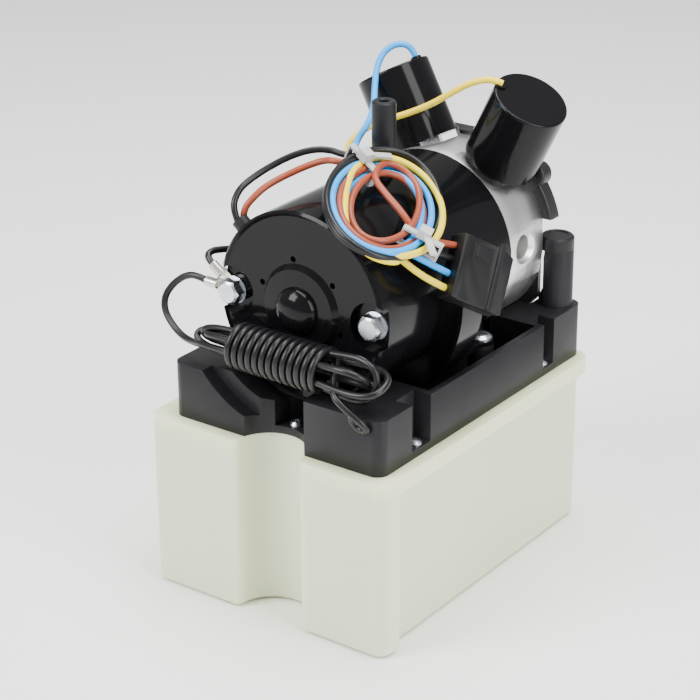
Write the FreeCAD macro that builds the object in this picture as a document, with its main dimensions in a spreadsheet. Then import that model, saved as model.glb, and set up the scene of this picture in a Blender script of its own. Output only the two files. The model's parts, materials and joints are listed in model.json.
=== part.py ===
import FreeCAD, Part

import math
import os

import Sketcher
from FreeCAD import Placement, Rotation, Vector

# A small 12 V marine hydraulic power unit: a translucent reservoir, a moulded cover that
# cradles a permanent-magnet motor, and a gear pump with two solenoid valves behind the motor.
# Millimetres, +Z up. The origin is the centre of the reservoir's underside; the motor's
# end cap faces -Y and the filler neck stands at the right rear corner (+X, +Y).

# ------------------------------------------------------------------ driving dimensions

SIZES = {
    # reservoir
    "tank_right": 54.0,
    "tank_left": 57.5,
    "tank_front": 76.5,
    "tank_rear": 72.0,
    "tank_height": 72.3,
    "tank_wall": 2.6,
    "tank_front_length": 10.5,
    "tank_side_recess": 4.0,
    "tank_rim_height": 6.3,
    "tank_land": 12.0,
    "tank_front_corner": 5.5,
    "tank_rear_corner": 8.0,
    "tank_foot_round": 3.0,
    "flute_radius": 14.7,
    "flute_inset": 1.5,
    "gasket_width": 1.3,
    "gasket_depth": 1.5,
    "gasket_inset": 10.2,
    # cover
    "cover_width": 98.0,
    "cover_length": 142.0,
    "cover_corner": 5.0,
    "cover_wall": 2.6,
    "well_front": -36.4,
    "well_rear": 38.4,
    "cover_floor": 3.2,
    "cover_height": 22.2,
    "cover_spigot": 4.3,
    "cover_fit": 0.3,
    "cradle_radius": 43.7,
    "cradle_length": 6.0,
    "cradle_rib_radius": 36.7,
    "cradle_rib_length": 7.0,
    "cradle_gap": 0.6,
    "notch_depth": 7.5,
    "screw_head_radius": 2.7,
    "screw_head_height": 2.0,
    "screw_radius": 1.4,
    "screw_x": 45.6,
    "front_screw_y": -44.4,
    "rear_screw_y": 44.8,
    "nose_screw_y": -56.8,
    "tail_screw_y": 67.9,
    # filler neck
    "neck_x": 40.3,
    "neck_y": 63.7,
    "neck_radius": 6.9,
    "neck_bore": 5.0,
    "neck_height": 29.5,
    "neck_cap_height": 5.5,
    "neck_plug_length": 6.0,
    "neck_cap_lift": 7.0,
    "filler_land": 1.5,
    "neck_fit": 0.05,
    # motor
    "axis_height": 122.0,
    "motor_radius": 38.0,
    "can_wall": 3.0,
    "can_front": -46.0,
    "pump_front": 33.0,
    "cap_front": -53.0,
    "cap_sheet": 1.6,
    "cap_spigot": 10.5,
    "boss_radius": 17.5,
    "boss_front": -55.6,
    "dome_radius": 9.1,
    "dome_front": -60.8,
    "grommet_y": -49.6,
    "bolt_circle": 32.0,
    "cup_radius": 9.5,
    "cup_depth": 3.2,
    "vent_radius": 1.2,
    "bolt_radius": 2.5,
    "bolt_head_flats": 9.0,
    "bolt_head_height": 5.0,
    "bolt_reach": 5.0,
    "shaft_radius": 4.0,
    "running_gap": 0.04,
    "bush_wall": 3.0,
    "magnet_thickness": 6.0,
    "magnet_front": -28.0,
    "magnet_length": 46.0,
    "air_gap": 0.8,
    "core_front": -24.0,
    "core_length": 38.0,
    "commutator_radius": 11.0,
    "commutator_front": -46.0,
    "commutator_length": 11.0,
    "brush_gap": 0.05,
    # saddle
    "saddle_radius": 48.6,
    "saddle_front": -17.6,
    "saddle_length": 14.6,
    "saddle_ear_thickness": 1.8,
    "saddle_screw_x": 37.7,
    "saddle_screw_y": 12.4,
    "saddle_boss_radius": 5.0,
    "washer_head_radius": 4.4,
    # pump
    "pump_rear": 57.5,
    "pump_spigot": 2.0,
    "foot_half_width": 21.0,
    "foot_front": 35.0,
    "foot_rear": 55.0,
    "valve_pad": 3.0,
    "neck_relief": 0.8,
    "plate_screw_circle": 34.0,
    "plate_ear": 5.0,
    "rear_plate_radius": 42.0,
    "rear_plate_thickness": 7.0,
    "gear_module": 1.75,
    "gear_width": 10.0,
    "gear_end_gap": 0.05,
    "gear_tip_gap": 0.15,
    "gear_backlash": 0.12,
    "pin_radius": 3.0,
    "seal_radius": 9.0,
    "seal_length": 5.0,
    "port_radius": 4.95,
    "port_depth": 13.5,
    "port_face": 37.0,
    "port_y": 43.2,
    "port_z": 124.0,
    "gallery_radius": 2.2,
    "outlet_x": -27.0,
    "riser_left_x": -22.5,
    "riser_right_x": 23.5,
    "relief_passage": 1.2,
    "bore_reach": 20.0,
    "suction_x": 12.0,
    "suction_y": 43.0,
    "suction_radius": 4.0,
    "suction_end": 20.0,
    "strainer_radius": 9.0,
    "relief_y": 44.0,
    "relief_z": 106.0,
    "relief_radius": 4.0,
    "relief_bore": 3.0,
    "relief_seat": 16.0,
    "relief_plug_start": 28.0,
    # solenoid valves
    "right_valve_x": 22.0,
    "right_valve_y": 49.7,
    "right_valve_z": 156.3,
    "right_valve_tilt": 29.0,
    "right_valve_skew": 13.0,
    "left_valve_x": -16.3,
    "left_valve_y": 50.5,
    "left_valve_z": 155.3,
    "left_valve_tilt": 30.2,
    "left_valve_skew": 6.0,
    "coil_radius": 15.1,
    "coil_height": 31.7,
    "coil_shell": 1.2,
    "coil_bore": 6.3,
    "stem_radius": 6.0,
    "stem_depth": 12.0,
    "stem_top": 29.5,
    "plunger_radius": 4.4,
    "plunger_length": 18.0,
    # fittings and cords
    "vent_tube_x": -2.5,
    "vent_tube_y": 4.1,
    "vent_tube_radius": 4.75,
    "vent_tube_bore": 2.0,
    "vent_tube_height": 27.4,
    "connector_width": 23.5,
    "connector_height": 24.5,
    "connector_depth": 9.0,
    "harness_half_length": 33.5,
    "harness_half_width": 24.5,
    "harness_band": 14.0,
    "harness_thickness": 5.5,
    "wire_diameter": 2.6,
    "cable_diameter": 2.7,
}


class Size:
    """A number together with the spreadsheet expression that gives it."""

    def __init__(self, value, text):
        self.value = value
        self.text = text

    def joined(self, other, sign, value, swapped=False):
        other_text = other.text if isinstance(other, Size) else repr(float(other))
        pair = (other_text, self.text) if swapped else (self.text, other_text)
        return Size(value, f"({pair[0]} {sign} {pair[1]})")

    def __add__(self, other):
        return self.joined(other, "+", self.value + number(other))

    def __radd__(self, other):
        return self.joined(other, "+", number(other) + self.value, swapped=True)

    def __sub__(self, other):
        return self.joined(other, "-", self.value - number(other))

    def __rsub__(self, other):
        return self.joined(other, "-", number(other) - self.value, swapped=True)

    def __mul__(self, other):
        return self.joined(other, "*", self.value * number(other))

    def __rmul__(self, other):
        return self.joined(other, "*", number(other) * self.value, swapped=True)

    def __truediv__(self, other):
        return self.joined(other, "/", self.value / number(other))

    def __neg__(self):
        return 0.0 - self


def number(size):
    return size.value if isinstance(size, Size) else float(size)


doc = FreeCAD.newDocument("hydraulic_power_unit")
sheet = doc.addObject("Spreadsheet::Sheet", "sizes")
for row, (alias, value) in enumerate(SIZES.items(), 1):
    sheet.set(f"A{row}", alias)
    sheet.set(f"B{row}", str(value))
    sheet.setAlias(f"B{row}", alias)
doc.recompute()


class Named:
    """S.tank_width and the like: each driving dimension as a Size."""

    def __getattr__(self, alias):
        return Size(float(SIZES[alias]), f"sizes.{alias}")


S = Named()

# ------------------------------------------------------------------ modelling helpers

PARTS = {}
DIRECTIONS = {
    "X": Rotation(Vector(0, 0, 1), Vector(1, 0, 0)),
    "Y": Rotation(Vector(0, 0, 1), Vector(0, 1, 0)),
    "Z": Rotation(),
    "-X": Rotation(Vector(0, 0, 1), Vector(-1, 0, 0)),
    "-Y": Rotation(Vector(0, 0, 1), Vector(0, -1, 0)),
    "-Z": Rotation(Vector(0, 0, 1), Vector(0, 0, -1)),
}


def bind(item, name, size):
    """Sets a property, through the spreadsheet where the size comes from it."""
    if isinstance(size, Size):
        item.setExpression(name, size.text)
    else:
        setattr(item, name, float(size))


def place(item, at, rotation=DIRECTIONS["Z"]):
    item.Placement = Placement(Vector(*[number(size) for size in at]), rotation)
    for name, size in zip("xyz", at):
        if isinstance(size, Size):
            item.setExpression(f"Placement.Base.{name}", size.text)
    return item


def block(x, y, z):
    """A box between pairs of coordinates."""
    item = doc.addObject("Part::Box", "block")
    bind(item, "Length", x[1] - x[0])
    bind(item, "Width", y[1] - y[0])
    bind(item, "Height", z[1] - z[0])
    return place(item, (x[0], y[0], z[0]))


def rod(radius, start, length, along="Y"):
    """A cylinder from a start point, along X, Y or Z."""
    item = doc.addObject("Part::Cylinder", "rod")
    bind(item, "Radius", radius)
    bind(item, "Height", length)
    return place(item, start, DIRECTIONS[along])


def cone(radius, far_radius, start, length, along="Y"):
    item = doc.addObject("Part::Cone", "cone")
    bind(item, "Radius1", radius)
    bind(item, "Radius2", far_radius)
    bind(item, "Height", length)
    return place(item, start, DIRECTIONS[along])


def hexagon(flats, start, length, along="Y"):
    """A hexagonal prism from its width across flats."""
    item = doc.addObject("Part::Prism", "hexagon")
    item.Polygon = 6
    bind(item, "Circumradius", flats / math.sqrt(3))
    bind(item, "Height", length)
    return place(item, start, DIRECTIONS[along])


def fuse(*items):
    item = doc.addObject("Part::MultiFuse", "fuse")
    item.Shapes = list(items)
    item.Refine = True
    return item


def cut(base, *tools):
    item = doc.addObject("Part::Cut", "cut")
    item.Base = base
    item.Tool = tools[0] if len(tools) == 1 else fuse(*tools)
    item.Refine = True
    return item


def common(base, tool):
    item = doc.addObject("Part::Common", "common")
    item.Base = base
    item.Tool = tool
    return item


def group(*items):
    """Several separate solids that make one node."""
    item = doc.addObject("Part::Compound", "group")
    item.Links = list(items)
    return item


def posed(item, at, rotation=DIRECTIONS["Z"]):
    """A finished piece, built at the origin, moved and turned into place."""
    return place(group(item), at, rotation)


def spans(side, near, far):
    """A pair of x limits on the left (-1) or the right (1)."""
    return (near, far) if side > 0 else (-far, -near)


def rounded(base, radius, wanted):
    """Rounds the edges for which wanted(edge) is true."""
    doc.recompute()
    item = doc.addObject("Part::Fillet", "rounded")
    item.Base = base
    edges = enumerate(base.Shape.Edges, 1)
    item.Edges = [(index, number(radius), number(radius)) for index, edge in edges if wanted(edge)]
    doc.recompute()
    return item


def upright(edge):
    """True for a straight edge along Z."""
    if not isinstance(edge.Curve, Part.Line):
        return False
    return abs(abs(edge.Curve.Direction.z) - 1) < 1e-6


def plane_of(body, role):
    return next(f for f in body.Origin.OriginFeatures if f.Role == role)


def polygon(sketch, corners):
    """A closed outline whose corners are tied to the spreadsheet."""
    points = [Vector(number(x), number(y), 0) for x, y in corners]
    count = len(points)
    for index, point in enumerate(points):
        line = Part.LineSegment(point, points[(index + 1) % count])
        sketch.addGeometry(line, False)
    for index in range(count):
        joint = Sketcher.Constraint("Coincident", index, 2, (index + 1) % count, 1)
        sketch.addConstraint(joint)
    for index, corner in enumerate(corners):
        for kind, size in zip(("DistanceX", "DistanceY"), corner):
            tie = Sketcher.Constraint(kind, -1, 1, index, 1, number(size))
            place_in_list = sketch.addConstraint(tie)
            if isinstance(size, Size):
                sketch.setExpression(f"Constraints[{place_in_list}]", size.text)


def turned(name, profile, at, along="Y", angle=360.0):
    """A body of revolution: profile is a list of (radius, distance along the axis)."""
    body = doc.addObject("PartDesign::Body", name)
    sketch = body.newObject("Sketcher::SketchObject", f"{name}_profile")
    sketch.AttachmentSupport = [(plane_of(body, "XZ_Plane"), "")]
    sketch.MapMode = "FlatFace"
    polygon(sketch, profile)
    solid = body.newObject("PartDesign::Revolution", f"{name}_turn")
    solid.Profile = sketch
    solid.ReferenceAxis = (sketch, ["V_Axis"])
    solid.Angle = angle
    body.Tip = solid
    return place(body, at, DIRECTIONS[along])


def publish(name, item):
    """Gives a sub-part the label that names its file."""
    item.Label = name
    PARTS[name] = item
    return item


def on_axis(y):
    """A point on the motor's axis."""
    return (0.0, y, S.axis_height)


# ------------------------------------------------------------------ reservoir and cover

front_y = -S.tank_front
step_y = front_y + S.tank_front_length
rim_z = S.tank_height - S.tank_rim_height
flute_y = front_y + S.flute_inset
cover_half_width = S.cover_width / 2
cover_half_length = S.cover_length / 2
cover_ledge = S.tank_height + S.cover_floor
cover_top = S.tank_height + S.cover_height
SCREWS = [
    (-S.screw_x, S.front_screw_y),
    (S.screw_x, S.front_screw_y),
    (-S.screw_x, S.rear_screw_y),
    (S.screw_x, S.rear_screw_y),
    (0.0, S.nose_screw_y),
    (0.0, S.tail_screw_y),
]


def both_ways(size):
    return (-size, size)


def flute(radius, low, high):
    """The half-round groove down the middle of the front."""
    return rod(radius, (0.0, flute_y, low), high - low, "Z")


def inset_block(inset, low, high):
    """The mouth's plan: drawn in from the rim, round the front groove and the filler hole."""
    plan = block(both_ways(S.tank_right - inset), (front_y + inset, S.tank_rear - inset),
                 (low, high))
    filler = rod(S.neck_bore + S.filler_land + inset - S.gasket_inset,
                 (S.neck_x, S.neck_y, low - 1.0), high - low + 2.0, "Z")
    return cut(plan, flute(S.flute_radius + inset, low - 1.0, high + 1.0), filler)


def screw_holes(low, high):
    return [rod(S.screw_radius, (x, y, low), high - low, "Z") for x, y in SCREWS]


def tank_blocks(low, high, inset):
    """The wide front and the narrower rear of the reservoir, drawn in by a wall's thickness."""
    recess = S.tank_side_recess + inset
    front = block((inset - S.tank_left, S.tank_right - inset), (front_y + inset, step_y - inset),
                  (low, high))
    rear = block((recess - S.tank_left, S.tank_right - recess),
                 (front_y + inset, S.tank_rear - inset), (low, high))
    return front, rounded_rear(rear)


def rounded_rear(plan):
    """Rounds the two upright corners at the back."""
    return rounded(plan, S.tank_rear_corner, lambda e: upright(e) and e.CenterOfMass.y > 0.0)


def build_tank():
    top = S.tank_height
    wall = S.tank_wall
    rim = rounded_rear(block((-S.tank_left, S.tank_right), (front_y, S.tank_rear), (rim_z, top)))
    outside = cut(fuse(*tank_blocks(0.0, top, 0.0), rim), flute(S.flute_radius, -1.0, top + 1.0))

    def at_front(edge):
        return edge.CenterOfMass.y < number(front_y) + 0.01

    def at_side(edge):
        return abs(edge.CenterOfMass.x) > number(S.tank_right) - 0.01

    def at_groove(edge):
        return abs(edge.CenterOfMass.x) < number(S.flute_radius) + 0.01

    outside = rounded(outside, S.tank_front_corner,
                      lambda e: upright(e) and at_front(e) and at_side(e))
    outside = rounded(outside, S.tank_foot_round,
                      lambda e: upright(e) and at_front(e) and at_groove(e))
    outside = rounded(outside, S.tank_foot_round - 0.5, lambda e: e.BoundBox.ZMax < 0.01)
    hollow = cut(fuse(*tank_blocks(wall, rim_z, wall)), flute(S.flute_radius + wall, 0.0, top))
    mouth = inset_block(S.tank_land, rim_z - 1.0, top + 1.0)
    groove = cut(
        inset_block(S.gasket_inset, top - S.gasket_depth, top + 1.0),
        inset_block(S.gasket_inset + S.gasket_width, top - S.gasket_depth - 1.0, top + 2.0),
    )
    filler = rod(S.neck_bore, (S.neck_x, S.neck_y, rim_z - 1.0), S.tank_rim_height + 2.0, "Z")
    return cut(outside, hollow, mouth, groove, filler, *screw_holes(rim_z - 1.0, top + 1.0))


def build_gasket():
    low = S.tank_height - S.gasket_depth
    return cut(
        inset_block(S.gasket_inset, low, S.tank_height),
        inset_block(S.gasket_inset + S.gasket_width, low - 1.0, S.tank_height + 1.0),
    )


def cradle_cut(radius, y_from, y_to, right=60.0):
    """Room for a round thing on the motor's axis, up to a given x on the right."""
    round_room = rod(radius, on_axis(y_from), y_to - y_from)
    return common(round_room, block((-60.0, right), (y_from, y_to), (60.0, 170.0)))


def build_cover():
    plan = (both_ways(cover_half_width), both_ways(cover_half_length))
    body = block(*plan, (S.tank_height, cover_top))
    body = rounded(body, S.cover_corner, upright)
    spigot = inset_block(S.tank_land + S.cover_fit, S.tank_height - S.cover_spigot, S.tank_height)
    low = S.tank_height - S.cover_spigot
    neck_top = cover_top + S.neck_height
    neck = rod(S.neck_radius, (S.neck_x, S.neck_y, S.tank_height), neck_top
               - S.neck_cap_height - S.tank_height, "Z")
    high = cover_top + 1.0
    front = -cover_half_length
    rib_y = front + S.cradle_length
    can_y = rib_y + S.cradle_rib_length
    saddle_y = S.saddle_front - S.cover_fit
    saddle_end = S.saddle_front + S.saddle_length + S.cover_fit
    room = S.motor_radius + S.cradle_gap
    plate_y = S.pump_rear - S.cover_fit
    cuts = [
        flute(S.flute_radius, low - 1.0, high),
        cradle_cut(S.cradle_radius, front - 1.0, rib_y, 13.0),
        cradle_cut(S.cradle_rib_radius, rib_y, can_y, 13.0),
        cradle_cut(room, can_y, saddle_y),
        cradle_cut(S.saddle_radius + S.cradle_gap, saddle_y, saddle_end),
        cradle_cut(room, saddle_end, plate_y),
        cradle_cut(S.rear_plate_radius + S.cradle_gap, plate_y, cover_half_length + 1.0),
        block((-6.5, 8.0), (-62.5, -52.5), (cover_ledge, high)),
        block((-25.0, 25.0), (-52.6, plate_y + 1.0), (cover_ledge, high)),
        rod(S.neck_bore, (S.neck_x, S.neck_y, low - 1.0), neck_top - low + 2.0, "Z"),
        rod(S.suction_radius + S.cover_fit, (S.suction_x, S.suction_y, low - 1.0), 12.0, "Z"),
    ]
    for side in (-1.0, 1.0):
        x = spans(side, cover_half_width - S.notch_depth, cover_half_width + 1.0)
        for y in ((-51.0, -39.0), (41.0, 48.6)):
            cuts.append(block(x, y, (cover_ledge, high)))
        x = spans(side, 20.0, cover_half_width - S.cover_wall)
        cuts.append(block(x, (S.well_front, S.well_rear), (cover_ledge, high)))
    cuts += screw_holes(low - 1.0, high)
    cuts += [rod(S.screw_head_radius + S.cover_fit, (x, y, cover_ledge), high - cover_ledge, "Z")
             for x, y in SCREWS]
    cuts += pump_screw_rods(low - 1.0, cover_ledge + 1.0)
    bosses = []
    for side in (-1.0, 1.0):
        x, y = side * S.saddle_screw_x, S.saddle_screw_y
        boss = rod(S.saddle_boss_radius, (x, y, cover_ledge), cover_top - cover_ledge, "Z")
        web = block(spans(side, S.saddle_screw_x, cover_half_width - 1.0), (y - 1.2, y + 1.2),
                    (cover_ledge, cover_top - 4.0))
        bosses.append(cut(fuse(boss, web), rod(2.0, (x, y, cover_ledge), 25.0, "Z")))
    return fuse(cut(fuse(body, spigot, neck), *cuts), *bosses)


PUMP_SCREWS = [(x, y) for x in (-17.0, 17.0) for y in (37.8, 51.5)]


def pump_screw_rods(low, high):
    return [rod(2.0, (x, y, low), high - low, "Z") for x, y in PUMP_SCREWS]


def pan_screw(x, y, z, shank, head_radius, head_height, radius):
    """A screw with a low domed head, seated at z and pointing down."""
    profile = [
        (0.0, -shank),
        (radius, -shank),
        (radius, 0.0),
        (head_radius, 0.0),
        (head_radius, head_height * 0.4),
        (head_radius * 0.7, head_height * 0.85),
        (head_radius * 0.35, head_height),
        (0.0, head_height),
    ]
    head = turned("screw", profile, (x, y, z), "Z")
    slot_base = z + head_height * 0.45
    arm = head_radius * 0.55
    cross = [
        block((x - arm, x + arm), (y - 0.35, y + 0.35), (slot_base, z + head_height + 1.0)),
        block((x - 0.35, x + 0.35), (y - arm, y + arm), (slot_base, z + head_height + 1.0)),
    ]
    return cut(head, *cross)


def build_filler_cap():
    """A push-in plug whose rim is flush with the neck."""
    seat = cover_top + S.neck_height - S.neck_cap_height
    plug = S.neck_bore - S.neck_fit
    profile = [
        (0.0, -S.neck_plug_length),
        (plug - 0.8, -S.neck_plug_length),
        (plug, 0.8 - S.neck_plug_length),
        (plug, 0.0),
        (S.neck_radius, 0.0),
        (S.neck_radius, S.neck_cap_height - 0.8),
        (S.neck_radius - 0.8, S.neck_cap_height),
        (S.neck_radius - 2.2, S.neck_cap_height),
        (S.neck_radius - 2.5, S.neck_cap_height - 0.4),
        (0.0, S.neck_cap_height - 0.4),
    ]
    return turned("filler_cap", profile, (S.neck_x, S.neck_y, seat), "Z")


publish("tank", build_tank())
publish("tank_gasket", build_gasket())
publish("cover", build_cover())
publish("cover_screws", group(*[
    pan_screw(x, y, cover_ledge, S.cover_floor + 4.5, S.screw_head_radius, S.screw_head_height,
              S.screw_radius) for x, y in SCREWS]))
publish("filler_cap", build_filler_cap())

# ------------------------------------------------------------------ motor

cap_back = S.cap_front + S.cap_sheet
chamber_front = S.pump_rear - S.gear_width - 2 * S.gear_end_gap
bolt_seat = S.cap_front + S.cup_depth
BOLTS = [(-S.bolt_circle, S.axis_height), (S.bolt_circle, S.axis_height)]
DOME_STEPS = 14


def on_motor(name, profile, y=0.0):
    """A body turned about the motor's axis; distances run towards +Y."""
    return turned(name, profile, on_axis(y))


def tube(outer, inner, y_from, y_to):
    """A plain ring about the motor's axis."""
    return cut(
        rod(outer, on_axis(y_from), y_to - y_from),
        rod(inner, on_axis(y_from - 1.0), y_to - y_from + 2.0),
    )


def build_end_cap():
    sheet_wall = S.cap_sheet
    radius = S.motor_radius
    spigot = radius - S.can_wall - 0.1
    bush = S.shaft_radius + S.bush_wall
    front = S.cap_front
    back = cap_back
    profile = [(0.0, S.dome_front)]
    for step in range(1, DOME_STEPS + 1):
        turn = math.pi / 2 * step / DOME_STEPS
        profile.append((S.dome_radius * math.sin(turn),
                        S.boss_front + (S.dome_front - S.boss_front) * math.cos(turn)))
    profile += [
        (S.dome_radius + 1.2, S.boss_front),
        (S.boss_radius - 1.8, S.boss_front + 0.5),
        (S.boss_radius, front),
        (radius - 2.2, front),
        (radius - 1.0, front - 0.9),
        (radius, front),
        (radius, S.can_front),
        (spigot, S.can_front),
        (spigot, S.can_front + S.cap_spigot),
        (spigot - sheet_wall, S.can_front + S.cap_spigot),
        (spigot - sheet_wall, S.can_front - sheet_wall),
        (radius - sheet_wall, S.can_front - sheet_wall),
        (radius - sheet_wall, back),
        (bush + 1.6, back),
        (bush + 1.6, S.can_front - 1.5),
        (bush, S.can_front - 1.5),
        (bush, S.boss_front + 0.8),
        (0.0, S.boss_front + 0.8),
    ]
    shell = on_motor("end_cap", profile)
    inside = radius - sheet_wall / 2
    cups = []
    for x, z in BOLTS:
        cup = rod(S.cup_radius + sheet_wall, (x, cap_back - 0.5, z), S.cup_depth + 0.5)
        cups.append(common(cup, rod(inside, on_axis(front), 8.0)))
    cut_tools = []
    for x, z in BOLTS:
        cut_tools.append(rod(S.cup_radius, (x, S.cap_front - 2.0, z), S.cup_depth + 2.0))
        cut_tools.append(rod(S.bolt_radius + 0.1, (x, S.cap_front, z), 20.0))
    for angle in (100.0, 160.0, 40.0, -20.0, -80.0, -140.0):
        x = (S.boss_radius + 1.6) * math.cos(math.radians(angle))
        z = S.axis_height + (S.boss_radius + 1.6) * math.sin(math.radians(angle))
        cut_tools.append(rod(S.vent_radius, (x, front - 1.0, z), 4.0))
    cut_tools.append(posed(rod(GROMMET_NECK, (0.0, 0.0, 30.0), 15.0, "Z"), on_axis(S.grommet_y),
                           GROMMET_TURN))
    return cut(fuse(shell, *cups), *cut_tools)


GROMMET_NECK = 2.6
GROMMET_TURN = Rotation(Vector(0, 0, 1), Vector(-31.0, 0, 27.5))


def build_grommet():
    """The rubber bush where the motor's two leads come out of the end cap."""
    collar = rod(GROMMET_NECK + 0.7, (0.0, 0.0, 37.0), 4.4, "Z")
    neck = rod(GROMMET_NECK, (0.0, 0.0, S.motor_radius - S.cap_sheet - 1.0), 5.0, "Z")
    outside = cut(posed(collar, on_axis(S.grommet_y), GROMMET_TURN),
                  rod(S.motor_radius, on_axis(-60.0), 60.0))
    return fuse(outside, posed(neck, on_axis(S.grommet_y), GROMMET_TURN))


def build_armature_core():
    """A stack of laminations with twelve slots."""
    radius = S.motor_radius - S.can_wall - S.magnet_thickness - S.air_gap
    stack = tube(radius, S.shaft_radius, S.core_front, S.core_front + S.core_length)
    return cut(stack, *slot_blocks(radius - 11.0, radius + 1.0, 2.4, 1.0))


def slot_blocks(low, high, width, margin):
    blocks = []
    for index in range(12):
        bar = block((low, high), (S.core_front - margin, S.core_front + S.core_length + margin),
                    (-width / 2, width / 2))
        blocks.append(posed(bar, on_axis(0.0), Rotation(Vector(0, 1, 0), index * 30.0)))
    return blocks


def build_windings():
    """Copper in the slots, joined by the end turns at both ends."""
    radius = S.motor_radius - S.can_wall - S.magnet_thickness - S.air_gap
    rear = S.core_front + S.core_length
    ends = [
        tube(radius - 2.0, S.shaft_radius + 5.0, S.core_front - 9.0, S.core_front),
        tube(radius - 2.0, S.shaft_radius + 5.0, rear, rear + 8.0),
    ]
    return fuse(*ends, *slot_blocks(radius - 11.0, radius - 2.5, 2.4, 0.5))


def build_commutator():
    """A copper drum cut into twelve bars, with a riser flange."""
    front = S.commutator_front
    length = S.commutator_length
    drum = fuse(
        tube(S.commutator_radius, S.shaft_radius, front, front + length),
        tube(S.commutator_radius + 1.8, S.shaft_radius, front + length, front + length + 2.0),
    )
    grooves = []
    for index in range(12):
        bar = block((S.commutator_radius - 1.2, S.commutator_radius + 3.0), (front - 1.0,
                    front + length + 3.0), (-0.3, 0.3))
        grooves.append(posed(bar, on_axis(0.0), Rotation(Vector(0, 1, 0), index * 30.0)))
    return cut(drum, *grooves)


def build_magnets():
    """Two curved ferrite magnets, above and below the armature."""
    outer = S.motor_radius - S.can_wall
    ring = tube(outer, outer - S.magnet_thickness, S.magnet_front, S.magnet_front + S.magnet_length)
    far = S.magnet_front + S.magnet_length
    reach = 22.0
    upper = block((-40.0, 40.0), (S.magnet_front, far), (S.axis_height + reach * 0.6, 170.0))
    lower = block((-40.0, 40.0), (S.magnet_front, far), (70.0, S.axis_height - reach * 0.6))
    return group(common(ring, upper), common(ring, lower))


def build_brush_plate():
    """The insulating plate with its two brush boxes, one above and one below."""
    y = S.commutator_front + S.commutator_length - 0.5
    plate = tube(S.motor_radius - S.can_wall - 0.2, S.commutator_radius + 2.6, y, y + 1.8)
    holes = [rod(S.bolt_radius + 0.6, (x, y - 1.0, z), 4.0) for x, z in BOLTS]
    boxes = []
    for side in (-1.0, 1.0):
        near = S.axis_height + side * (S.commutator_radius + 3.0)
        far = S.axis_height + side * (S.commutator_radius + 17.0)
        z = (near, far) if side > 0 else (far, near)
        outer = block((-5.2, 5.2), (y - 9.0, y), z)
        inner = block((-4.0, 4.0), (y - 7.8, y - 1.4), (z[0] - 1.0, z[1] + 1.0))
        boxes.append(cut(outer, inner))
    return fuse(cut(plate, *holes), *boxes)


def build_brushes():
    y = S.commutator_front + S.commutator_length - 0.5
    blocks = []
    for side in (-1.0, 1.0):
        near = S.axis_height + side * (S.commutator_radius + S.brush_gap - 0.8)
        far = S.axis_height + side * (S.commutator_radius + 10.0)
        z = (near, far) if side > 0 else (far, near)
        body = block((-3.9, 3.9), (y - 7.7, y - 1.5), z)
        blocks.append(cut(body, rod(S.commutator_radius + S.brush_gap, on_axis(y - 9.0), 10.0)))
    return group(*blocks)


def coil_spring(name, at, along, radius, wire, length, turns):
    """A compression spring from a start point along an axis."""
    helix = Part.makeHelix(length / turns, length, radius)
    section = Part.Wire(Part.makeCircle(wire / 2, Vector(radius, 0, 0), Vector(0, 1, 0)))
    shape = Part.Wire(helix.Edges).makePipeShell([section], True, True)
    item = doc.addObject("Part::Feature", name)
    item.Shape = shape
    return place(item, at, DIRECTIONS[along])


def build_brush_springs():
    y = S.commutator_front + S.commutator_length - 0.5 - 4.6
    reach = S.commutator_radius + 10.3
    return group(
        coil_spring("spring", (0.0, y, S.axis_height + reach), "Z", 2.2, 0.5, 6.5, 5),
        coil_spring("spring", (0.0, y, S.axis_height - reach), "-Z", 2.2, 0.5, 6.5, 5),
    )


def build_through_bolts():
    """Washer, hex head and a long shank that runs through the can into the pump body."""
    bolts = []
    end = S.pump_front + S.bolt_reach
    for (x, z), packing in zip(BOLTS, (2 * LUG_SHEET, 0.0)):
        seat = bolt_seat - packing - 0.8
        tip = seat - S.bolt_head_height
        washer = rod(S.bolt_head_flats * 0.6, (x, seat, z), 0.8)
        head = hexagon(S.bolt_head_flats, (x, tip, z), S.bolt_head_height)
        crown = cone(S.bolt_head_flats * 0.42, S.bolt_head_flats * 0.62, (x, tip, z), 1.2)
        body = rod(S.bolt_head_flats, (x, tip + 1.2, z), S.bolt_head_height - 1.2)
        shank = rod(S.bolt_radius, (x, seat, z), end - seat)
        bolts.append(fuse(common(head, fuse(crown, body)), washer, shank))
    return group(*bolts)


def build_shaft():
    """Runs from the front bush, through the armature and the seal, into the drive gear."""
    gear_end = S.pump_rear - S.gear_end_gap
    profile = [
        (0.0, S.boss_front + 1.4),
        (S.shaft_radius - 0.5, S.boss_front + 1.4),
        (S.shaft_radius, S.boss_front + 1.9),
        (S.shaft_radius, gear_end - 0.5),
        (S.shaft_radius - 0.5, gear_end),
        (0.0, gear_end),
    ]
    return on_motor("motor_shaft", profile)


LUG_SHEET = 0.9


def build_lug(lift, angle):
    """A crimp ring terminal on the left bolt; lift counts the terminals under it."""
    back = bolt_seat - lift * LUG_SHEET
    barrel = 1.9
    ring = cut(
        fuse(
            rod(5.0, (0.0, 0.0, 0.0), LUG_SHEET, "Z"),
            block((0.0, 9.5), (-barrel, barrel), (0.0, LUG_SHEET)),
            rod(barrel, (8.0, 0.0, barrel), 5.5, "X"),
        ),
        rod(S.bolt_radius, (0.0, 0.0, -1.0), 3.0, "Z"),
    )
    x, z = BOLTS[0]
    turn = Rotation(Vector(0, 1, 0), -angle) * Rotation(Vector(1, 0, 0), 90.0)
    return posed(ring, (x, back, z), turn)


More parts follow.
